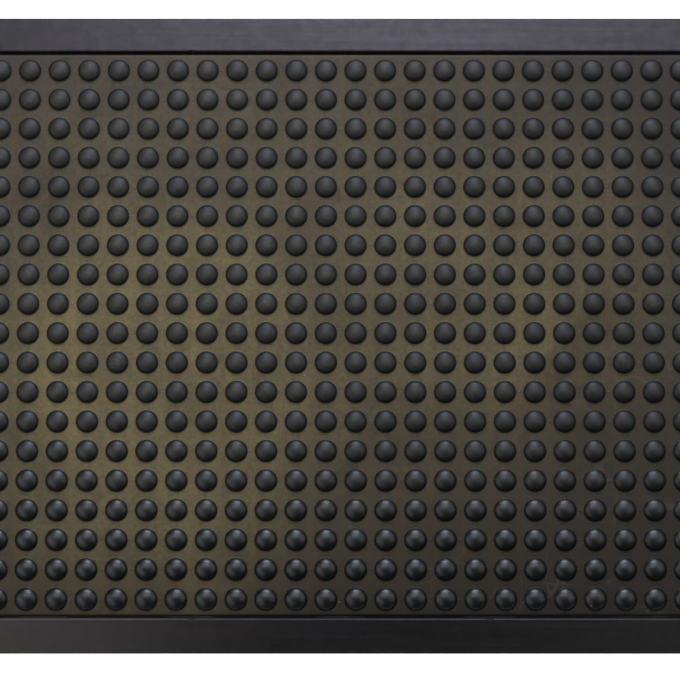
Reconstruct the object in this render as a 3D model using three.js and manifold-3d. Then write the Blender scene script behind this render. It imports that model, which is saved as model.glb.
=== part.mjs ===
// A moulded rubber anti-fatigue door mat, in millimetres, +Z up, origin on the floor under its centre.
// One thick pad carries round cushioning bubbles. Four bevelled ramps close its edges: each one sits
// over a thin flange of the pad and is held by pegs, so it lifts straight up off the pad.

import * as THREE from "three";
import Module from "manifold-3d";
import { ConvexGeometry } from "three/addons/geometries/ConvexGeometry.js";
import { mergeGeometries, mergeVertices } from "three/addons/utils/BufferGeometryUtils.js";

// Overall size, over the four ramps
const LENGTH = 914;
const WIDTH = 600;

// Pad
const FLOOR_THICKNESS = 8.5;
const PAD_EDGE_ROUND = 3;
const FLANGE_THICKNESS = 2.5;
const FLANGE_LAP = 18;

// Bubbles moulded on the pad
const BUBBLE_DIAMETER = 21;
const BUBBLE_HEIGHT = 5.5;
const BUBBLE_CROWN_LENGTH = 8;
const BUBBLE_PITCH = 28;
const BUBBLE_MARGIN = 15.4;
const BUBBLE_ROOT = 1;
const BUBBLE_FACETS = 6;

// Ramps
const RAMP_WIDTH = 34;
const RAMP_TOE_HEIGHT = 2.5;
const RAMP_CREST_RISE = 1.5;
const RAMP_ARRIS = 1.6;
const JOINT_GAP = 2.2;
const MITRE_GAP = 0.6;

// Pegs of the pad and their sockets in the ramps
const PEG_DIAMETER = 8;
const PEG_HEIGHT = 3;
const PEG_ROOT = 1;
const PEG_SPACING = 140;
const PEG_END_MARGIN = 25;
const PEG_FACETS = 6;
const FIT_CLEARANCE = 0.4;

// Mould vents across the inner edge of the long ramps
const VENT_DIAMETER = 3;
const VENT_DEPTH = 3;
const VENT_OFFSET = 140;

const padLength = LENGTH - 2 * (RAMP_WIDTH + JOINT_GAP);
const padWidth = WIDTH - 2 * (RAMP_WIDTH + JOINT_GAP);
const flangeReach = JOINT_GAP + FLANGE_LAP;
const rampCrest = FLOOR_THICKNESS + RAMP_CREST_RISE;
const rebateHeight = FLANGE_THICKNESS + FIT_CLEARANCE;
const rebateDepth = FLANGE_LAP + FIT_CLEARANCE;

const wasm = await Module();
wasm.setup();

// A closed geometry as a solid that can be joined and cut
function toSolid(geometry) {
  const bare = geometry.clone();
  bare.deleteAttribute("normal");
  bare.deleteAttribute("uv");
  const merged = mergeVertices(bare, 1e-4);
  const mesh = new wasm.Mesh({
    numProp: 3,
    vertProperties: new Float32Array(merged.attributes.position.array),
    triVerts: new Uint32Array(merged.index.array),
  });
  return new wasm.Manifold(mesh);
}

function toGeometry(solid) {
  const mesh = solid.getMesh();
  const geometry = new THREE.BufferGeometry();
  geometry.setAttribute("position", new THREE.BufferAttribute(mesh.vertProperties, 3));
  geometry.setIndex(new THREE.BufferAttribute(mesh.triVerts, 1));
  geometry.computeVertexNormals();
  return geometry;
}

// Places of a row of like features, centred on zero, whose ends stay within the reach
function evenPlaces(reach, spacing) {
  const pairs = Math.floor(reach / spacing);
  const places = [];
  for (let i = -pairs; i <= pairs; i += 1) {
    places.push(i * spacing);
  }
  return places;
}

// Places of the bubbles along one side, spread evenly at the pitch nearest to the nominal one
function bubblePlaces(side) {
  const span = side - 2 * BUBBLE_MARGIN;
  const steps = Math.round(span / BUBBLE_PITCH);
  const places = [];
  for (let i = 0; i <= steps; i += 1) {
    places.push(-span / 2 + (span * i) / steps);
  }
  return places;
}

// Section of the pad across one side: a flange at the foot and a rounded upper edge
function padSection(side) {
  const half = side / 2;
  const round = PAD_EDGE_ROUND;
  const shape = new THREE.Shape();
  shape.moveTo(-half - flangeReach, 0);
  shape.lineTo(half + flangeReach, 0);
  shape.lineTo(half + flangeReach, FLANGE_THICKNESS);
  shape.lineTo(half, FLANGE_THICKNESS);
  shape.absarc(half - round, FLOOR_THICKNESS - round, round, 0, Math.PI / 2);
  shape.absarc(-half + round, FLOOR_THICKNESS - round, round, Math.PI / 2, Math.PI);
  shape.lineTo(-half, FLANGE_THICKNESS);
  shape.lineTo(-half - flangeReach, FLANGE_THICKNESS);
  return shape;
}

// The pad without bubbles or pegs: its two sections, run along X and along Y, where they meet
function padBlank() {
  const overX = padLength + 4 * flangeReach;
  const overY = padWidth + 4 * flangeReach;
  const run = { bevelEnabled: false, curveSegments: 2 };
  const alongX = new THREE.ExtrudeGeometry(padSection(padWidth), { ...run, depth: overX });
  alongX.translate(0, 0, -overX / 2);
  alongX.rotateX(Math.PI / 2);
  alongX.rotateZ(Math.PI / 2);
  const alongY = new THREE.ExtrudeGeometry(padSection(padLength), { ...run, depth: overY });
  alongY.translate(0, 0, -overY / 2);
  alongY.rotateX(Math.PI / 2);
  return toSolid(alongX).intersect(toSolid(alongY));
}

// One bubble: a faceted cap with a blunt crown, its root sunk into the pad
function bubble() {
  const crown = FLOOR_THICKNESS + BUBBLE_HEIGHT;
  const points = [
    new THREE.Vector3(-BUBBLE_CROWN_LENGTH / 2, 0, crown),
    new THREE.Vector3(BUBBLE_CROWN_LENGTH / 2, 0, crown),
  ];
  for (let i = 0; i < BUBBLE_FACETS; i += 1) {
    const turn = (i * 2 * Math.PI) / BUBBLE_FACETS;
    const x = (BUBBLE_DIAMETER / 2) * Math.cos(turn);
    const y = (BUBBLE_DIAMETER / 2) * Math.sin(turn);
    points.push(new THREE.Vector3(x, y, FLOOR_THICKNESS - BUBBLE_ROOT));
    points.push(new THREE.Vector3(x, y, FLOOR_THICKNESS));
  }
  return new ConvexGeometry(points);
}

function bubbleField() {
  const pattern = bubble();
  const bubbles = [];
  for (const x of bubblePlaces(padLength)) {
    for (const y of bubblePlaces(padWidth)) {
      bubbles.push(pattern.clone().translate(x, y, 0));
    }
  }
  return toSolid(mergeGeometries(bubbles));
}

// The places of the pegs along the middle of one flange, of a ramp whose inner edge has this length
function pegPlaces(innerLength) {
  return evenPlaces(innerLength / 2 - PEG_END_MARGIN, PEG_SPACING);
}

function peg() {
  const height = PEG_HEIGHT + PEG_ROOT;
  const geometry = new THREE.CylinderGeometry(PEG_DIAMETER / 2, PEG_DIAMETER / 2, height, PEG_FACETS);
  geometry.rotateX(Math.PI / 2);
  geometry.translate(0, 0, FLANGE_THICKNESS - PEG_ROOT + height / 2);
  return geometry;
}

function pegSet() {
  const outX = padLength / 2 + JOINT_GAP + FLANGE_LAP / 2;
  const outY = padWidth / 2 + JOINT_GAP + FLANGE_LAP / 2;
  const pegs = [];
  for (const side of [-1, 1]) {
    for (const x of pegPlaces(padLength)) {
      pegs.push(peg().translate(x, side * outY, 0));
    }
    for (const y of pegPlaces(padWidth)) {
      pegs.push(peg().rotateZ(Math.PI / 2).translate(side * outX, y, 0));
    }
  }
  return toSolid(mergeGeometries(pegs));
}

function bubblePad() {
  const solid = padBlank().add(bubbleField()).add(pegSet());
  const rubber = new THREE.MeshStandardMaterial({ color: 0x3a3832, roughness: 0.72, metalness: 0 });
  const mesh = new THREE.Mesh(toGeometry(solid), rubber);
  mesh.name = "bubble_pad";
  return mesh;
}

// Section of a ramp: x runs from its outer toe (0) to its inner edge, with the rebate for the flange
function rampSection() {
  const shape = new THREE.Shape();
  shape.moveTo(0, 0);
  shape.lineTo(RAMP_WIDTH - rebateDepth, 0);
  shape.lineTo(RAMP_WIDTH - rebateDepth, rebateHeight);
  shape.lineTo(RAMP_WIDTH, rebateHeight);
  shape.lineTo(RAMP_WIDTH, rampCrest - RAMP_ARRIS);
  shape.absarc(RAMP_WIDTH - RAMP_ARRIS, rampCrest - RAMP_ARRIS, RAMP_ARRIS, 0, Math.PI / 2);
  shape.lineTo(0, RAMP_TOE_HEIGHT);
  return shape;
}

// A ramp along X with its inner edge on y = 0 and its toe towards -Y, both ends mitred at 45 degrees
function rampBlank(outerLength) {
  const half = outerLength / 2;
  const section = rampSection();
  const run = { depth: outerLength, bevelEnabled: false, curveSegments: 3 };
  const geometry = new THREE.ExtrudeGeometry(section, run);
  const place = geometry.attributes.position;
  for (let i = 0; i < place.count; i += 1) {
    const inward = place.getX(i);
    const mitre = inward + MITRE_GAP / Math.SQRT2;
    const x = place.getZ(i) > half ? half - mitre : mitre - half;
    place.setXYZ(i, x, inward - RAMP_WIDTH, place.getY(i));
  }
  return toSolid(geometry);
}

// Blind sockets that the pegs stand in
function socketSet(innerLength) {
  const radius = PEG_DIAMETER / 2 + FIT_CLEARANCE;
  const depth = FLANGE_THICKNESS + PEG_HEIGHT + FIT_CLEARANCE;
  const sockets = [];
  for (const x of pegPlaces(innerLength)) {
    const socket = new THREE.CylinderGeometry(radius, radius, depth, PEG_FACETS);
    socket.rotateX(Math.PI / 2);
    sockets.push(socket.translate(x, -FLANGE_LAP / 2, depth / 2));
  }
  return toSolid(mergeGeometries(sockets));
}

function ventPair() {
  const vents = [];
  for (const side of [-1, 1]) {
    const height = 2 * VENT_DEPTH;
    const vent = new THREE.CylinderGeometry(VENT_DIAMETER / 2, VENT_DIAMETER / 2, height, 8);
    vent.rotateX(Math.PI / 2);
    vents.push(vent.translate(side * VENT_OFFSET, 0, rampCrest));
  }
  return toSolid(mergeGeometries(vents));
}

// One ramp. Its turn about Z says which side of the pad it closes, with 0 on the -Y side.
function ramp(name, outerLength, distance, quarterTurns, vented) {
  const innerLength = outerLength - 2 * (RAMP_WIDTH + JOINT_GAP);
  let solid = rampBlank(outerLength).subtract(socketSet(innerLength));
  if (vented) {
    solid = solid.subtract(ventPair());
  }
  const rubber = new THREE.MeshStandardMaterial({ color: 0x34343a, roughness: 0.6, metalness: 0 });
  const mesh = new THREE.Mesh(toGeometry(solid), rubber);
  mesh.name = name;
  mesh.position.y = -(distance - RAMP_WIDTH);
  const side = new THREE.Group();
  side.rotation.z = (quarterTurns * Math.PI) / 2;
  side.add(mesh);
  return side;
}

const doorMat = new THREE.Group();
doorMat.add(bubblePad());
doorMat.add(ramp("front_ramp", LENGTH, WIDTH / 2, 0, true));
doorMat.add(ramp("right_ramp", WIDTH, LENGTH / 2, 1, false));
doorMat.add(ramp("rear_ramp", LENGTH, WIDTH / 2, 2, true));
doorMat.add(ramp("left_ramp", WIDTH, LENGTH / 2, 3, false));

export default doorMat;
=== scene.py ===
from math import atan2, cos, pi, radians, sin, sqrt

import bmesh
import bpy
from mathutils import Matrix, Vector


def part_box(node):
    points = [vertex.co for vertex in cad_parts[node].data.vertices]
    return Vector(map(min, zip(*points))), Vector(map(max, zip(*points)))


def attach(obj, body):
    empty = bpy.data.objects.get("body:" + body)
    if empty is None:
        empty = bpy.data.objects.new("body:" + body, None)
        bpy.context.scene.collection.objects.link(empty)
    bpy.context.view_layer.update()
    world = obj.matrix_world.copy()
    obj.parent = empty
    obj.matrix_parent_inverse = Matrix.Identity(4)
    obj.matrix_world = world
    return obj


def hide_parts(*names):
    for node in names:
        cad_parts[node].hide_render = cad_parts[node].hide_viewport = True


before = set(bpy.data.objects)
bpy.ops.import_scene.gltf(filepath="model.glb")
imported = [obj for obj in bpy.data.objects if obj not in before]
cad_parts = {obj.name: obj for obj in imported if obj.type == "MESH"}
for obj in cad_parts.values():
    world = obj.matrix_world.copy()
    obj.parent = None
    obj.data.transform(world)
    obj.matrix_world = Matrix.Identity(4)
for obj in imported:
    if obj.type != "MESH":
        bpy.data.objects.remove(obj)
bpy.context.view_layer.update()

mm = 0.001


# --- The pad -------------------------------------------------------------------------------------
# One thick moulded rubber sheet. Round hollow bubbles are raised in the same moulding, each running
# into the floor between them in a small fillet. A thin flange with pegs runs round its foot.
joint_gap = 2.2 * mm
pad_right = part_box("right_ramp")[0][0] - joint_gap
pad_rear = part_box("rear_ramp")[0][1] - joint_gap
flange_right, _, crown_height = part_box("bubble_pad")[1]
flange_reach = flange_right - pad_right
bubble_height = 5.5 * mm
floor_height = crown_height - bubble_height
flange_thickness = 2.5 * mm
edge_round = 2.2 * mm
bubble_radius = 10.7 * mm
bubble_fillet = 0.5 * mm
bubble_fullness = 0.60
bubble_pitch = 28 * mm
bubble_margin = 15.4 * mm
hollow_foot, hollow_neck = 8.0 * mm, 6.8 * mm
hollow_neck_height, hollow_height = 8.4 * mm, 10.8 * mm
pip_radius, pip_height, pip_root = 1.2 * mm, 0.4 * mm, 0.1 * mm
sides_on_top, sides_below, sides_of_pip = 20, 8, 8
edge_steps = 4


def even_places(half_side):
    """Centres of the bubbles along one side, spread at the pitch nearest to the nominal one."""
    span = 2 * (half_side - bubble_margin)
    steps = round(span / bubble_pitch)
    return [-span / 2 + span * i / steps for i in range(steps + 1)]


def bubble_profile():
    """Radius and height of each ring of a bubble, from the floor up to the one under the crown."""
    rings = [(bubble_radius + bubble_fillet, 0.0)]
    for share in (0.985, 0.93, 0.82, 0.62, 0.33):
        rings.append((bubble_radius * share, bubble_height * (1 - share ** 2) ** bubble_fullness))
    return [(radius, floor_height + rise) for radius, rise in rings]


def add_cell(bm, limits, centre, base, rings, tip, upward):
    """One bubble or one hollow, in the square of floor round it."""
    left, right, low, high = limits
    corners = [(right, high), (left, high), (left, low), (right, low)]
    square = [bm.verts.new((x, y, base)) for x, y in corners]
    sides = sides_on_top if upward else sides_below
    loops = []
    for radius, height in rings:
        loop = []
        for k in range(sides):
            turn = pi / 4 + 2 * pi * k / sides
            place = (centre[0] + radius * cos(turn), centre[1] + radius * sin(turn), height)
            loop.append(bm.verts.new(place))
        loops.append(loop)
    faces = []
    quarter = sides // 4
    for i in range(4):
        foot = [loops[0][(i * quarter + k) % sides] for k in range(quarter + 1)]
        faces.append([square[i], square[(i + 1) % 4]] + foot[::-1])
    for outer, inner in zip(loops, loops[1:]):
        for k in range(sides):
            faces.append([outer[k], outer[(k + 1) % sides], inner[(k + 1) % sides], inner[k]])
    top = bm.verts.new((centre[0], centre[1], tip))
    for k in range(sides):
        faces.append([loops[-1][k], loops[-1][(k + 1) % sides], top])
    for face in faces:
        bm.faces.new(face if upward else face[::-1])


def add_pip(bm, x, y):
    """A tiny low pip left on the floor by a vent in the mould, with its foot just under the surface."""
    sides = sides_of_pip
    foot, shoulder = [], []
    for k in range(sides):
        turn = 2 * pi * k / sides
        across, along = pip_radius * cos(turn), pip_radius * sin(turn)
        foot.append(bm.verts.new((x + across, y + along, floor_height - pip_root)))
        place = (x + 0.6 * across, y + 0.6 * along, floor_height + 0.7 * pip_height)
        shoulder.append(bm.verts.new(place))
    top = bm.verts.new((x, y, floor_height + pip_height))
    for k in range(sides):
        after = (k + 1) % sides
        bm.faces.new([foot[k], foot[after], shoulder[after], shoulder[k]])
        bm.faces.new([shoulder[k], shoulder[after], top])
    bm.faces.new(foot[::-1])


def cell_limits(places, half_side):
    """The lines between the bubbles, and the two where the pad's edge starts to round over."""
    middles = [(a + b) / 2 for a, b in zip(places, places[1:])]
    return [edge_round - half_side] + middles + [half_side - edge_round]


def outline_loop(limits_x, limits_y):
    """Corners of the outermost cells, anticlockwise round the field from its lower left corner."""
    loop = [(x, limits_y[0]) for x in limits_x[:-1]]
    loop += [(limits_x[-1], y) for y in limits_y[:-1]]
    loop += [(x, limits_y[-1]) for x in limits_x[:0:-1]]
    loop += [(limits_x[0], y) for y in limits_y[:0:-1]]
    return loop


def pushed_out(point, limits_x, limits_y, out):
    """A point of the field's outline moved outwards, square to its side and diagonally at a corner."""
    x, y = point
    near = 1e-7
    dx = -out if abs(x - limits_x[0]) < near else out if abs(x - limits_x[-1]) < near else 0.0
    dy = -out if abs(y - limits_y[0]) < near else out if abs(y - limits_y[-1]) < near else 0.0
    return x + dx, y + dy


def finish_piece(name, bm, smooth_angle=35):
    """A mesh object of its own, shaded smooth except over its sharp edges."""
    bmesh.ops.recalc_face_normals(bm, faces=bm.faces)
    mesh = bpy.data.meshes.new(name)
    bm.to_mesh(mesh)
    bm.free()
    piece = bpy.data.objects.new(name, mesh)
    bpy.context.collection.objects.link(piece)
    mesh.shade_smooth()
    mesh.set_sharp_from_angle(angle=radians(smooth_angle))
    return piece


def combine(piece, other, operation):
    """Joins another closed mesh to a piece, or cuts it away, and removes the other one."""
    change = piece.modifiers.new("change", "BOOLEAN")
    change.operation = operation
    change.solver = "MANIFOLD"
    change.object = other
    bpy.context.view_layer.update()
    made = bpy.data.meshes.new_from_object(piece.evaluated_get(bpy.context.evaluated_depsgraph_get()))
    piece.modifiers.clear()
    piece.data = made
    bpy.data.objects.remove(other)


def round_bars(name, places, radius, low, high, chamfer, sides=24):
    """Upright round bars with a chamfered top, all in one mesh."""
    bm = bmesh.new()
    profile = [(radius, low), (radius, high - chamfer), (radius - chamfer, high)]
    for x, y in places:
        loops = []
        for r, z in profile:
            turns = [2 * pi * k / sides for k in range(sides)]
            loops.append([bm.verts.new((x + r * cos(t), y + r * sin(t), z)) for t in turns])
        for lower, upper in zip(loops, loops[1:]):
            for k in range(sides):
                bm.faces.new([lower[k], lower[(k + 1) % sides], upper[(k + 1) % sides], upper[k]])
        bm.faces.new(loops[0][::-1])
        bm.faces.new(loops[-1])
    return finish_piece(name, bm)


def make_pad():
    """The whole moulding but its pegs: a field of cells, the rounded edge, the flange and the pips."""
    columns, rows = even_places(pad_right), even_places(pad_rear)
    limits_x, limits_y = cell_limits(columns, pad_right), cell_limits(rows, pad_rear)
    bm = bmesh.new()
    rings = bubble_profile()
    hollow = [(hollow_foot, 0.0), (hollow_neck, hollow_neck_height)]
    for i, x in enumerate(columns):
        for j, y in enumerate(rows):
            limits = (limits_x[i], limits_x[i + 1], limits_y[j], limits_y[j + 1])
            add_cell(bm, limits, (x, y), floor_height, rings, crown_height, True)
            add_cell(bm, limits, (x, y), 0.0, hollow, hollow_height, False)
    edge = [(0.0, floor_height)]
    for k in range(1, edge_steps + 1):
        turn = pi / 2 / edge_steps * k
        edge.append((edge_round * sin(turn), floor_height - edge_round * (1 - cos(turn))))
    edge += [(edge_round, flange_thickness), (edge_round + flange_reach, flange_thickness)]
    edge += [(edge_round + flange_reach, 0.0)]
    loop = outline_loop(limits_x, limits_y)
    hoops = []
    for out, height in edge + [(0.0, 0.0)]:
        places = [pushed_out(p, limits_x, limits_y, out) for p in loop]
        hoops.append([bm.verts.new((x, y, height)) for x, y in places])
    for upper, lower in zip(hoops, hoops[1:]):
        for k in range(len(loop)):
            after = (k + 1) % len(loop)
            bm.faces.new([upper[after], upper[k], lower[k], lower[after]])
    bmesh.ops.remove_doubles(bm, verts=bm.verts, dist=1e-6)
    for x in columns:
        for y in limits_y[1:-1]:
            add_pip(bm, x, y)
    for x in limits_x[1:-1]:
        for y in rows:
            add_pip(bm, x, y)
    return finish_piece("rubber_pad", bm)


peg_radius, peg_height, peg_chamfer = 4.0 * mm, 3.0 * mm, 0.6 * mm
peg_root = 1.0 * mm
peg_spacing, peg_end_margin = 140 * mm, 25 * mm


def peg_places(half_side):
    """Centred places of the pegs along one side of the pad."""
    pairs = int((half_side - peg_end_margin) / peg_spacing)
    return [i * peg_spacing for i in range(-pairs, pairs + 1)]


pad = make_pad()
peg_line = (flange_reach + joint_gap) / 2
pegs = [(x, side * (pad_rear + peg_line)) for side in (-1, 1) for x in peg_places(pad_right)]
pegs += [(side * (pad_right + peg_line), y) for side in (-1, 1) for y in peg_places(pad_rear)]
peg_top = flange_thickness + peg_height
combine(pad, round_bars("pegs", pegs, peg_radius, peg_root, peg_top, peg_chamfer), "UNION")
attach(pad, "pad")
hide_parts("bubble_pad")


class Nodes:
    """A material's node tree, with each node made in one short call."""

    def __init__(self, name):
        self.material = bpy.data.materials.new(name)
        self.material.use_nodes = True
        self.tree = self.material.node_tree
        self.shader = self.tree.nodes["Principled BSDF"]
        self.place = self.tree.nodes.new("ShaderNodeTexCoord").outputs["Object"]

    def node(self, kind, inputs=(), **settings):
        """One node, with its settings, and each input linked to a socket or set to a value."""
        made = self.tree.nodes.new("ShaderNode" + kind)
        for key, value in settings.items():
            setattr(made, key, value)
        for key, value in dict(inputs).items():
            if isinstance(value, bpy.types.NodeSocket):
                self.tree.links.new(value, made.inputs[key])
            else:
                made.inputs[key].default_value = value
        return made

    def noise(self, scale, detail=2.0, roughness=0.5, place=None, distortion=0.0):
        """Cloudy noise from 0 to 1, with its scale in waves a metre."""
        inputs = {"Vector": place or self.place, "Scale": scale, "Detail": detail}
        inputs.update({"Roughness": roughness, "Distortion": distortion})
        return self.node("TexNoise", inputs).outputs["Fac"]

    def stretched(self, x, y, z, turn=0.0):
        """The place on the mat, scaled apart along each axis, for streaks."""
        inputs = {"Vector": self.place, "Scale": (x, y, z), "Rotation": (0, 0, turn)}
        return self.node("Mapping", inputs).outputs["Vector"]

    def between(self, value, low, high, to_low=0.0, to_high=1.0):
        """A value eased from one range to another and held at its ends."""
        inputs = {"Value": value, "From Min": low, "From Max": high, "To Min": to_low, "To Max": to_high}
        made = self.node("MapRange", inputs, interpolation_type="SMOOTHSTEP")
        return made.outputs["Result"]

    def math(self, operation, a, b=0.0):
        made = self.node("Math", {0: a, 1: b}, operation=operation)
        return made.outputs["Value"]

    def mix(self, share, a, b):
        """Colour a at a share of 0 and colour b at 1."""
        made = self.node("Mix", data_type="RGBA")
        for key, value in ((0, share), (6, a), (7, b)):
            if isinstance(value, bpy.types.NodeSocket):
                self.tree.links.new(value, made.inputs[key])
            else:
                made.inputs[key].default_value = value if key == 0 else (*value, 1.0)
        return made.outputs[2]

    def link(self, value, socket):
        self.tree.links.new(value, self.shader.inputs[socket])

    def bump(self, heights, distance, strength=1.0):
        made = self.node("Bump", {"Height": heights, "Distance": distance, "Strength": strength})
        self.link(made.outputs["Normal"], "Normal")


def lobe(nodes, x, y, half_x, half_y):
    """1 at the middle of a soft oval patch of the pad and 0 past its rim."""
    parts = nodes.node("SeparateXYZ", {"Vector": nodes.place})
    across = nodes.math("DIVIDE", nodes.math("SUBTRACT", parts.outputs["X"], x), half_x)
    along = nodes.math("DIVIDE", nodes.math("SUBTRACT", parts.outputs["Y"], y), half_y)
    square = nodes.math("ADD", nodes.math("MULTIPLY", across, across), nodes.math("MULTIPLY", along, along))
    return nodes.between(nodes.math("SQRT", square), 0.25, 1.0, 1.0, 0.0)


def smudges(nodes):
    """Dark rubbed patches, one or two hands wide."""
    wide = nodes.between(nodes.noise(7.0, 3.0, 0.6, distortion=0.6), 0.56, 0.72, 0.0, 0.30)
    small = nodes.between(nodes.noise(38.0, 3.0, 0.7), 0.54, 0.75, 0.0, 0.25)
    return nodes.math("MAXIMUM", wide, small)


def scratches(nodes):
    """Hair-thin scratches that wander over the mat and come and go."""
    lines = []
    for scale_x, scale_y, turn in ((5.0, 26.0, 0.1), (24.0, 6.0, 0.3), (9.0, 30.0, 0.8)):
        field = nodes.noise(1.0, 1.0, 0.4, nodes.stretched(scale_x, scale_y, 3.0, turn))
        off = nodes.math("ABSOLUTE", nodes.math("SUBTRACT", field, 0.5))
        lines.append(nodes.between(off, 0.001, 0.006, 1.0, 0.0))
    lines = nodes.math("MAXIMUM", lines[0], nodes.math("MAXIMUM", lines[1], lines[2]))
    return nodes.math("MULTIPLY", lines, nodes.between(nodes.noise(11.0, 2.0), 0.50, 0.66, 0.0, 0.22))


def flecks(nodes):
    """A few light flecks of lint and grit."""
    grid = nodes.node("TexVoronoi", {"Vector": nodes.place, "Scale": 60.0})
    near = nodes.between(grid.outputs["Distance"], 0.025, 0.055, 1.0, 0.0)
    pick = nodes.node("SeparateColor", {"Color": grid.outputs["Color"]}).outputs["Red"]
    return nodes.math("MULTIPLY", near, nodes.between(pick, 0.86, 1.0, 0.0, 0.9))


def pad_rubber():
    """Black rubber: grey crowns over near-black sides, the sides' darkness being painted shade, and
    olive-brown bloom on the floor.
    """
    nodes = Nodes("pad_rubber")
    place = nodes.node("SeparateXYZ", {"Vector": nodes.place}).outputs

    # Parts of the moulding, told apart by their height.
    on_floor = nodes.between(place["Z"], floor_height + 0.1 * mm, floor_height + 0.8 * mm, 1.0, 0.0)
    above_flange = nodes.between(place["Z"], floor_height - 3.5 * mm, floor_height - 0.8 * mm)
    on_floor = nodes.math("MULTIPLY", on_floor, above_flange)
    on_crown = nodes.between(place["Z"], floor_height + 1.8 * mm, floor_height + 4.4 * mm)
    on_tip = nodes.between(place["Z"], floor_height + 4.6 * mm, floor_height + 5.5 * mm, 0.04, 0.40)
    on_pip = nodes.between(place["Z"], floor_height + 0.08 * mm, floor_height + 0.2 * mm)
    off_pip = nodes.between(place["Z"], floor_height + 0.45 * mm, floor_height + 0.9 * mm, 1.0, 0.0)
    on_pip = nodes.math("MULTIPLY", on_pip, off_pip)

    # Lighter towards the rear left, which is painted light from the lamps on that side laid over wear.
    # Bloom lies in two soft patches on a faint wide one.
    wander = nodes.math("MULTIPLY", nodes.math("SUBTRACT", nodes.noise(5.0, 3.0), 0.5), 0.10)
    rear = nodes.between(nodes.math("ADD", place["Y"], wander), -0.27, 0.06)
    left = nodes.between(nodes.math("ADD", place["X"], wander), -0.30, 0.34, 1.0, 0.0)
    # Painted light over wear: the rear left is lit lighter, and the front right left darker.
    wear_and_painted_light = nodes.math("MULTIPLY", rear, nodes.between(left, 0.0, 1.0, 0.72, 1.0))
    clouds = nodes.between(nodes.noise(9.0, 4.0, 0.6), 0.25, 0.75, 0.55, 1.0)
    streaks = nodes.noise(1.0, 3.0, 0.6, nodes.stretched(70.0, 6.0, 6.0))
    clouds = nodes.math("MULTIPLY", clouds, nodes.between(streaks, 0.25, 0.75, 0.75, 1.0))
    # The bloom patches are partly a painted glow: they also stand for light reflected off the floor's
    # middle.
    left_lobe = lobe(nodes, -0.18, -0.04, 0.30, 0.30)
    right_lobe = nodes.math("MULTIPLY", lobe(nodes, 0.12, 0.05, 0.30, 0.22), 0.70)
    faint = nodes.math("MULTIPLY", lobe(nodes, -0.06, 0.05, 0.55, 0.36), 0.48)
    bloom_and_painted_glow = nodes.math("MAXIMUM", nodes.math("MAXIMUM", left_lobe, right_lobe), faint)
    mottle = nodes.between(nodes.noise(240.0, 4.0, 0.7), 0.3, 0.7, 0.62, 1.0)
    patches = nodes.between(nodes.noise(42.0, 3.0, 0.65), 0.3, 0.7, 0.65, 1.0)
    bloom_and_painted_glow = nodes.math("MULTIPLY", nodes.math("MULTIPLY", bloom_and_painted_glow, clouds), mottle)
    scuffs_and_painted_light = nodes.math("MULTIPLY", wear_and_painted_light, nodes.math("MULTIPLY", mottle, patches))

    # Colour of each part, the marks of use over them, and painted light and shade.
    floor_rubber = nodes.mix(scuffs_and_painted_light, (0.015, 0.012, 0.008), (0.041, 0.035, 0.034))
    floor_rubber = nodes.mix(bloom_and_painted_glow, floor_rubber, (0.212, 0.169, 0.076))
    crown_rubber = nodes.mix(scuffs_and_painted_light, (0.0015, 0.0015, 0.002), (0.030, 0.027, 0.027))
    # The olive patch on each tip is partly dust and partly a painted highlight, the streak of light across
    # the tip.
    lightened_patch = nodes.math("MULTIPLY", nodes.math("ADD", nodes.math("MULTIPLY", bloom_and_painted_glow, 0.5), 0.5), on_tip)
    crown_rubber = nodes.mix(nodes.math("MULTIPLY", lightened_patch, scuffs_and_painted_light), crown_rubber, (0.145, 0.124, 0.066))
    # Painted shade: the bubble sides are near-black to stand for the dark ring of shade round each bubble's
    # foot.
    side_shade_rubber = nodes.mix(wear_and_painted_light, (0.001, 0.001, 0.001), (0.006, 0.0055, 0.005))
    bubble_rubber = nodes.mix(on_crown, side_shade_rubber, crown_rubber)
    rubber = nodes.mix(on_floor, bubble_rubber, floor_rubber)
    pip_rubber = nodes.mix(bloom_and_painted_glow, (0.055, 0.053, 0.050), (0.230, 0.190, 0.095))
    rubber = nodes.mix(nodes.math("MULTIPLY", on_pip, wear_and_painted_light), rubber, pip_rubber)
    rubber = nodes.mix(smudges(nodes), rubber, (0.003, 0.003, 0.003))
    scratched = nodes.math("MULTIPLY", scratches(nodes), nodes.between(on_floor, 0.0, 1.0, 0.35, 1.0))
    rubber = nodes.mix(scratched, rubber, (0.110, 0.105, 0.095))
    rubber = nodes.mix(flecks(nodes), rubber, (0.35, 0.34, 0.31))
    nodes.link(rubber, "Base Color")

    # The front is smoother and glossier than the worn rear, and bubbles more so than the floor.
    dull = nodes.between(rear, 0.0, 1.0, 0.38, 0.53)
    nodes.link(nodes.math("MAXIMUM", dull, nodes.math("MULTIPLY", on_floor, 0.56)), "Roughness")
    polish = nodes.between(rear, 0.0, 1.0, 0.66, 0.38)
    polish = nodes.math("MULTIPLY", polish, nodes.between(on_floor, 0.0, 1.0, 1.0, 0.62))
    nodes.link(polish, "Specular IOR Level")
    # Painted light colour: Specular Tint paints a cool cast into the bubbles' reflections and a warm one
    # into the floor's.
    nodes.link(nodes.mix(on_floor, (0.89, 0.96, 1.0), (1.0, 0.94, 0.89)), "Specular Tint")
    nodes.bump(nodes.noise(1400.0, 3.0, 0.6), 0.05 * mm, 0.6)
    return nodes.material


pad.data.materials.clear()
pad.data.materials.append(pad_rubber())


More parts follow.
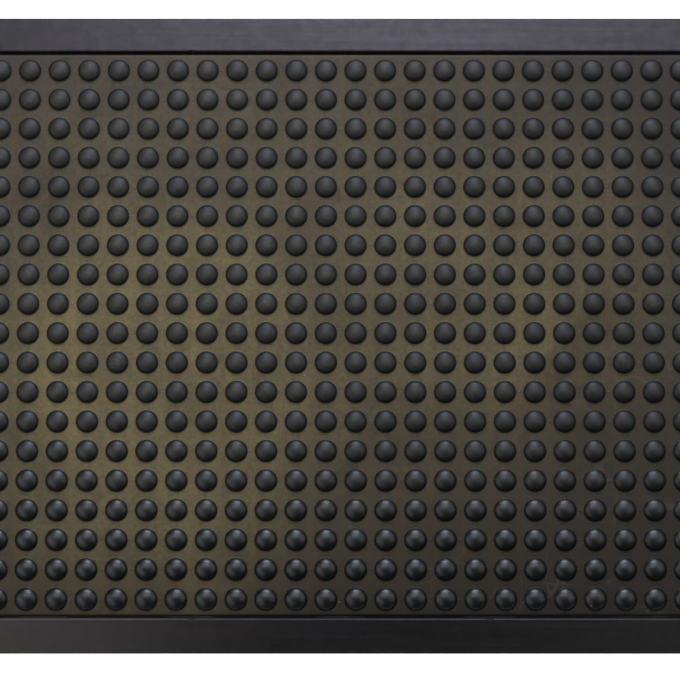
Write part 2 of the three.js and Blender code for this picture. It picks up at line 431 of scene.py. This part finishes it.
# --- The four edge ramps -------------------------------------------------------------------------
# Smooth bevelled rubber strips with mitred ends, moulded on their own. Each has a rebate underneath
# that sits over the pad's flange, with blind sockets for the pegs, so it lifts straight up.
ramp_width = 34.0 * mm
toe_height = 2.5 * mm
ramp_arris = 1.6 * mm
toe_round = 0.7 * mm
mitre_gap = 0.3 * mm
clearance = 0.4 * mm
hoop_spacing = 12 * mm
vent_radius, vent_depth, vent_place = 1.5 * mm, 3 * mm, 140 * mm
tool_chamfer = 0.3 * mm
rebate_height = flange_thickness + clearance
rebate_depth = flange_reach - joint_gap + clearance


def arc(centre_x, centre_z, radius, start, end, steps):
    """Points of a round corner of a section, between two turns in degrees."""
    turns = [radians(start + (end - start) * k / steps) for k in range(steps + 1)]
    return [(centre_x + radius * cos(t), centre_z + radius * sin(t)) for t in turns]


def ramp_section(crest):
    """The ramp's section, from its toe at 0 to its inner edge, anticlockwise.

    Two held points near the ends of the slope keep its shading flat between the round corners.
    """
    slope = atan2(crest - toe_height, ramp_width - ramp_arris)
    slope_turn = 90 + slope * 180 / pi
    inner = ramp_width
    points = [(0.0, 0.0), (inner - rebate_depth, 0.0)]
    points += [(inner - rebate_depth, rebate_height), (inner, rebate_height)]
    arris = arc(inner - ramp_arris, crest - ramp_arris, ramp_arris, 0, slope_turn, 6)
    toe = arc(toe_round, toe_height - toe_round, toe_round, slope_turn, 180, 4)
    (high_x, high_z), (low_x, low_z) = arris[-1], toe[0]
    run, drop = low_x - high_x, low_z - high_z
    held = [(high_x + run * share, high_z + drop * share) for share in (0.02, 0.98)]
    return points + arris + held + toe


def make_ramp(name, half_length, crest, vents):
    """A ramp along X with its inner edge on y = 0 and its toe towards -Y."""
    section = ramp_section(crest)
    steps = round(2 * half_length / hoop_spacing)
    bm = bmesh.new()
    hoops = []
    for k in range(steps + 1):
        share = 2 * k / steps - 1
        hoop = []
        for inward, height in section:
            x = share * (half_length - inward - mitre_gap / sqrt(2))
            hoop.append(bm.verts.new((x, inward - ramp_width, height)))
        hoops.append(hoop)
    count = len(section)
    for before, after in zip(hoops, hoops[1:]):
        for k in range(count):
            bm.faces.new([before[k], before[(k + 1) % count], after[(k + 1) % count], after[k]])
    bm.faces.new(hoops[0])
    bm.faces.new(hoops[-1][::-1])
    ramp = finish_piece(name, bm)
    inner_half = half_length - ramp_width - joint_gap
    sockets = [(x, -(rebate_depth - clearance) / 2) for x in peg_places(inner_half)]
    socket_top = peg_top + clearance
    cut = round_bars("sockets", sockets, peg_radius + clearance, -1 * mm, socket_top, tool_chamfer)
    combine(ramp, cut, "DIFFERENCE")
    if vents:
        nicks = [(side * vent_place, 0.0) for side in (-1, 1)]
        low, high = crest - vent_depth, crest + vent_depth
        cut = round_bars("vents", nicks, vent_radius, low, high, tool_chamfer)
        combine(ramp, cut, "DIFFERENCE")
    return ramp


def ramp_rubber(name, stretch_x, stretch_y):
    """Smooth black rubber with a soft sheen and faint drawn marks, its front left end painted lighter for
    the light falling there.
    """
    nodes = Nodes(name)
    place = nodes.node("SeparateXYZ", {"Vector": nodes.place}).outputs
    # Painted light: the front strips are lighter at their left end, and a little at the right, where lamps
    # fall on them.
    lightened_patch = nodes.between(place["X"], -0.34, -0.02, 1.0, 0.0)
    lightened_patch = nodes.math("MAXIMUM", lightened_patch, nodes.between(place["X"], 0.03, 0.33, 0.0, 0.25))
    lightened_patch = nodes.math("MULTIPLY", lightened_patch, nodes.between(place["Y"], -0.24, -0.10, 1.0, 0.0))
    marks = nodes.noise(1.0, 5.0, 0.65, nodes.stretched(stretch_x, stretch_y, 40.0))
    clouds = nodes.noise(12.0, 4.0, 0.6)
    tone = nodes.math("ADD", nodes.math("MULTIPLY", marks, 0.6), nodes.math("MULTIPLY", clouds, 0.4))
    tone = nodes.between(tone, 0.3, 0.7)
    strip_tone = nodes.mix(tone, (0.006, 0.006, 0.0065), (0.012, 0.0115, 0.0125))
    nodes.link(nodes.mix(lightened_patch, strip_tone, (0.044, 0.041, 0.038)), "Base Color")
    nodes.link(nodes.between(marks, 0.3, 0.7, 0.44, 0.52), "Roughness")
    nodes.link(nodes.between(nodes.noise(95.0, 4.0, 0.7), 0.3, 0.7, 0.34, 0.44), "Specular IOR Level")
    # Painted light colour: a faint pink-violet cast painted into the strip's reflections.
    nodes.shader.inputs["Specular Tint"].default_value = (1.0, 0.90, 0.94, 1)
    nodes.bump(nodes.noise(1400.0, 3.0, 0.6), 0.03 * mm, 0.5)
    return nodes.material


long_rubber = ramp_rubber("long_ramp_rubber", 5.0, 260.0)
short_rubber = ramp_rubber("short_ramp_rubber", 260.0, 5.0)
half_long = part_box("right_ramp")[1][0]
half_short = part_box("rear_ramp")[1][1]
sides_round = [
    ("front", half_long, half_short, 0, True),
    ("right", half_short, half_long, 90, False),
    ("rear", half_long, half_short, 180, True),
    ("left", half_short, half_long, 270, False),
]
for side, half_length, distance, turn, vents in sides_round:
    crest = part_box(side + "_ramp")[1][2]
    ramp = make_ramp(side + "_edge_ramp", half_length, crest, vents)
    spin = Matrix.Rotation(radians(turn), 4, "Z")
    ramp.data.transform(spin @ Matrix.Translation((0, ramp_width - distance, 0)))
    ramp.data.materials.clear()
    ramp.data.materials.append(long_rubber if vents else short_rubber)
    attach(ramp, side + "_ramp")
    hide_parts(side + "_ramp")


# --- The studio ----------------------------------------------------------------------------------
# The mat lies on a plain white floor, looked at from almost straight above. A broad cool window
# stands beyond its rear edge under a soft ceiling light. Dimmer lights stand for the walls.
floor_half, floor_drop = 40.0, 0.05 * mm


def make_floor():
    """A wide sheet just under the mat that glows a little, so that it stays white."""
    bm = bmesh.new()
    corners = [(-1, -1), (1, -1), (1, 1), (-1, 1)]
    bm.faces.new([bm.verts.new((x * floor_half, y * floor_half, -floor_drop)) for x, y in corners])
    floor = finish_piece("studio_floor", bm)
    nodes = Nodes("white_floor")
    nodes.shader.inputs["Base Color"].default_value = (0.9, 0.9, 0.9, 1)
    nodes.shader.inputs["Roughness"].default_value = 0.9
    nodes.shader.inputs["Emission Color"].default_value = (1.0, 1.0, 1.0, 1)
    nodes.shader.inputs["Emission Strength"].default_value = 0.85
    floor.data.materials.append(nodes.material)


def area_light(name, place, target, size_x, size_y, power, colour, spread=180):
    """A rectangular light at a place, turned towards a target, with its beam's width in degrees."""
    light = bpy.data.lights.new(name, "AREA")
    light.spread = radians(spread)
    light.shape = "RECTANGLE"
    light.size, light.size_y = size_x, size_y
    light.energy = power
    light.color = colour
    lamp = bpy.data.objects.new(name, light)
    lamp.location = place
    lamp.rotation_euler = (Vector(target) - Vector(place)).to_track_quat("-Z", "Y").to_euler()
    bpy.context.collection.objects.link(lamp)


make_floor()
area_light("window", (0.10, 1.85, 1.2), (0, 0, 0), 1.3, 0.75, 40, (0.76, 0.83, 0.98))
area_light("ceiling", (-0.2, 0.75, 1.8), (-0.1, 0.1, 0), 1.8, 0.9, 15, (1.0, 0.96, 0.97))
area_light("left_wall", (-1.85, -0.1, 1.25), (-0.3, 0.1, 0), 1.6, 1.5, 2.4, (0.96, 0.97, 0.97), 80)
area_light("right_wall", (1.3, 0.25, 1.2), (0, 0, 0), 1.7, 1.3, 7.6, (0.98, 0.97, 0.96))
area_light("front_left", (-1.0, -0.95, 1.1), (-0.35, -0.25, 0), 1.1, 1.0, 0.47, (0.96, 0.97, 0.97), 60)

world = bpy.data.worlds.new("white_room")
world.use_nodes = True
world.node_tree.nodes["Background"].inputs["Color"].default_value = (1.0, 0.97, 0.92, 1)
world.node_tree.nodes["Background"].inputs["Strength"].default_value = 0.05
bpy.context.scene.world = world
bpy.context.scene.view_settings.view_transform = "Standard"

seen_width = 638 * mm
camera_height = 1.42
camera_tilt = 0.04
camera = bpy.data.cameras.new("camera")
camera.sensor_width = 36
camera.lens = camera.sensor_width * (camera_height - floor_height) / seen_width
eye = bpy.data.objects.new("camera", camera)
eye.location = (-0.7 * mm, -63 * mm, camera_height)
eye.rotation_euler = (camera_tilt, 0, 0)
bpy.context.collection.objects.link(eye)
bpy.context.scene.camera = eye
